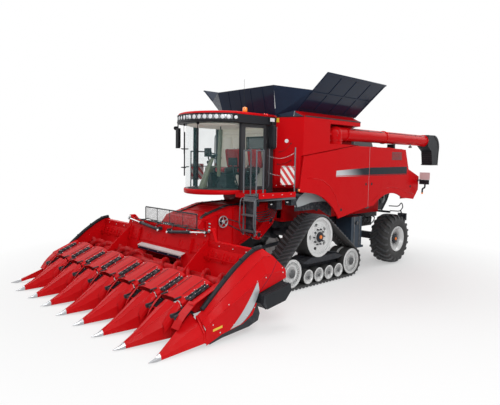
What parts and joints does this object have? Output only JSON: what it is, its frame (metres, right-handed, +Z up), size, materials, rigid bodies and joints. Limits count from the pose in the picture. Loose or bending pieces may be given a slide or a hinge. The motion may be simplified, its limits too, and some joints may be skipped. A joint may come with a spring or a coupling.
{
  "type": "combine harvester",
  "caption": "Self-propelled combine harvester on front track units with a folding row-crop header, open grain tank covers, cab and swinging unloading auger.",
  "frame": {"origin": "on the ground at the bottom centre of the whole machine's box", "axes": "+X to the machine's left, +Y to its rear (the header points along -Y), +Z up"},
  "size_m": [6.48, 12.152, 5.0002],
  "materials": {
    "red_panels": "gloss",
    "red_paint": "gloss",
    "red_snouts": "gloss",
    "red_hood": "gloss",
    "black_frame": "satin",
    "black_cover": "gloss",
    "black_plastic": "satin",
    "cab_structure": "satin",
    "cab_glazing": "polished",
    "seat_cloth": "matte",
    "cab_trim": "matte",
    "track_rubber": "matte",
    "tyre_rubber": "matte",
    "silver_wheels": "satin",
    "engine_metal": "matte",
    "auger_steel": "satin",
    "grey_steel": "satin",
    "board_white": "satin"
  },
  "bodies": {
    "chassis": {"main_frame": "black_frame", "front_axle": "black_frame", "left_track_belt": "track_rubber", "right_track_belt": "track_rubber", "drive_wheels": "silver_wheels", "track_rollers": "silver_wheels", "track_frames": "black_frame", "threshing_body": "red_paint", "fuel_tank": "black_plastic", "rear_axle_beam": "black_frame", "grain_tank": "red_paint", "engine_deck": "black_plastic", "engine_block": "engine_metal", "rear_hood": "red_hood", "cab_shell": "cab_structure", "cab_roof": "red_hood", "cab_glass": "cab_glazing", "seats": "seat_cloth", "cab_controls": "cab_trim", "platforms": "grey_steel", "warning_board": "board_white", "access_ladder": "black_frame", "mirrors": "black_plastic", "front_gussets": "black_cover", "rear_gussets": "black_cover"},
    "left_knuckle": {"left_steering_knuckle": "black_frame"},
    "right_knuckle": {"right_steering_knuckle": "black_frame"},
    "left_rear_wheel": {"left_rear_tyre": "tyre_rubber", "left_rear_rim": "silver_wheels"},
    "right_rear_wheel": {"right_rear_tyre": "tyre_rubber", "right_rear_rim": "silver_wheels"},
    "left_front_panel": {"left_front_panel": "red_panels"},
    "right_front_panel": {"right_front_panel": "red_panels"},
    "left_rear_panel": {"left_rear_panel": "red_panels"},
    "right_rear_panel": {"right_rear_panel": "red_panels"},
    "left_cover": {"left_tank_cover": "black_cover"},
    "right_cover": {"right_tank_cover": "black_cover"},
    "front_flap": {"front_flap": "black_cover"},
    "rear_flap": {"rear_flap": "black_cover"},
    "unloading_auger": {"auger_tube": "red_paint", "auger_spout": "black_plastic"},
    "cab_door": {"cab_door": "cab_structure", "cab_door_glass": "cab_glazing"},
    "feeder": {"feeder_house": "red_paint", "header_frame": "red_paint", "header_snouts": "red_snouts", "trash_screen": "grey_steel", "fold_cylinders": "grey_steel"},
    "header_auger": {"header_auger": "auger_steel"},
    "left_wing": {"left_wing_frame": "red_paint", "left_wing_snouts": "red_snouts", "left_end_divider": "red_snouts"},
    "right_wing": {"right_wing_frame": "red_paint", "right_wing_snouts": "red_snouts", "right_end_divider": "red_snouts"},
    "left_wing_auger": {"left_wing_auger": "auger_steel"},
    "right_wing_auger": {"right_wing_auger": "auger_steel"},
    "lift_barrels": {"lift_barrels": "grey_steel"},
    "lift_rods": {"lift_rods": "grey_steel"}
  },
  "joints": [
    {"name": "feeder_lift", "type": "hinge", "parent": "chassis", "child": "feeder", "pos_m": [0, -0.68601, 1.88], "axis": [1, 0, 0], "range_deg": [-10, 0]},
    {"name": "left_wing_fold", "type": "hinge", "parent": "feeder", "child": "left_wing", "pos_m": [1.54, -3.56601, 1.6], "axis": [0, -1, 0], "range_deg": [0, 155]},
    {"name": "right_wing_fold", "type": "hinge", "parent": "feeder", "child": "right_wing", "pos_m": [-1.54, -3.56601, 1.6], "axis": [0, 1, 0], "range_deg": [0, 155]},
    {"name": "header_auger_spin", "type": "hinge", "parent": "feeder", "child": "header_auger", "pos_m": [0, -4.00601, 0.77], "axis": [1, 0, 0], "continuous": true},
    {"name": "left_wing_auger_spin", "type": "hinge", "parent": "left_wing", "child": "left_wing_auger", "pos_m": [2, -4.00601, 0.77], "axis": [1, 0, 0], "continuous": true},
    {"name": "right_wing_auger_spin", "type": "hinge", "parent": "right_wing", "child": "right_wing_auger", "pos_m": [-2, -4.00601, 0.77], "axis": [1, 0, 0], "continuous": true},
    {"name": "lift_cylinder_swing", "type": "hinge", "parent": "chassis", "child": "lift_barrels", "pos_m": [0, -0.32601, 0.93], "axis": [1, 0, 0], "range_deg": [-8.86, 0.5]},
    {"name": "lift_rod_slide", "type": "slide", "parent": "lift_barrels", "child": "lift_rods", "axis": [0, -0.9971, -0.0763], "range_m": [-0.01, 0.1758]},
    {"name": "steering", "type": "hinge", "parent": "chassis", "child": "left_knuckle", "pos_m": [0.93, 3.56399, 0.735], "axis": [0, 0, 1], "range_deg": [-32, 32]},
    {"name": "steering_right", "type": "hinge", "parent": "chassis", "child": "right_knuckle", "pos_m": [-0.93, 3.56399, 0.735], "axis": [0, 0, 1], "range_deg": [-32, 32]},
    {"name": "left_rear_wheel_spin", "type": "hinge", "parent": "left_knuckle", "child": "left_rear_wheel", "pos_m": [1.365, 3.56399, 0.735], "axis": [1, 0, 0], "continuous": true},
    {"name": "right_rear_wheel_spin", "type": "hinge", "parent": "right_knuckle", "child": "right_rear_wheel", "pos_m": [-1.365, 3.56399, 0.735], "axis": [1, 0, 0], "continuous": true},
    {"name": "tank_cover_fold", "type": "hinge", "parent": "chassis", "child": "left_cover", "pos_m": [1.32, -0.26601, 4.215], "axis": [0, -1, 0], "range_deg": [0, 139.5], "deforming": ["front_gussets", "rear_gussets"]},
    {"name": "right_cover_fold", "type": "hinge", "parent": "chassis", "child": "right_cover", "pos_m": [-1.32, -0.26601, 4.215], "axis": [0, 1, 0], "range_deg": [0, 139.5]},
    {"name": "front_flap_fold", "type": "hinge", "parent": "chassis", "child": "front_flap", "pos_m": [0, -1.12201, 4.078], "axis": [-1, 0, 0], "range_deg": [0, 104.1]},
    {"name": "rear_flap_fold", "type": "hinge", "parent": "chassis", "child": "rear_flap", "pos_m": [0, 1.61999, 4.078], "axis": [1, 0, 0], "range_deg": [0, 104.1]},
    {"name": "unloading_auger_swing", "type": "hinge", "parent": "chassis", "child": "unloading_auger", "pos_m": [1.43, 0.57399, 3.735], "axis": [0, 0, -1], "range_deg": [0, 95]},
    {"name": "cab_door_hinge", "type": "hinge", "parent": "chassis", "child": "cab_door", "pos_m": [0.94955, -1.43199, 3], "axis": [0, 0, 1], "range_deg": [0, 60]},
    {"name": "left_front_panel_hinge", "type": "hinge", "parent": "chassis", "child": "left_front_panel", "pos_m": [1.616, 0.23399, 3.28871], "axis": [0, -0.9892, -0.1467], "range_deg": [0, 60]},
    {"name": "right_front_panel_hinge", "type": "hinge", "parent": "chassis", "child": "right_front_panel", "pos_m": [-1.616, 0.23399, 3.28871], "axis": [0, 0.9892, 0.1467], "range_deg": [0, 60]},
    {"name": "left_rear_panel_hinge", "type": "hinge", "parent": "chassis", "child": "left_rear_panel", "pos_m": [1.616, 2.73399, 3.44], "axis": [0, -1, 0], "range_deg": [0, 60]},
    {"name": "right_rear_panel_hinge", "type": "hinge", "parent": "chassis", "child": "right_rear_panel", "pos_m": [-1.616, 2.73399, 3.44], "axis": [0, 1, 0], "range_deg": [0, 60]}
  ],
  "couplings": [
    {"joint": "left_wing_auger_spin", "follows": "header_auger_spin", "ratio": 1},
    {"joint": "right_wing_auger_spin", "follows": "header_auger_spin", "ratio": 1},
    {"joint": "lift_cylinder_swing", "follows": "feeder_lift", "ratio": 0.83648},
    {"joint": "lift_rod_slide", "follows": "feeder_lift", "m_per_rad": -0.95011},
    {"joint": "steering_right", "follows": "steering", "ratio": 1},
    {"joint": "right_cover_fold", "follows": "tank_cover_fold", "ratio": 1},
    {"joint": "front_flap_fold", "follows": "tank_cover_fold", "ratio": 0.74552},
    {"joint": "rear_flap_fold", "follows": "tank_cover_fold", "ratio": 0.74552}
  ]
}
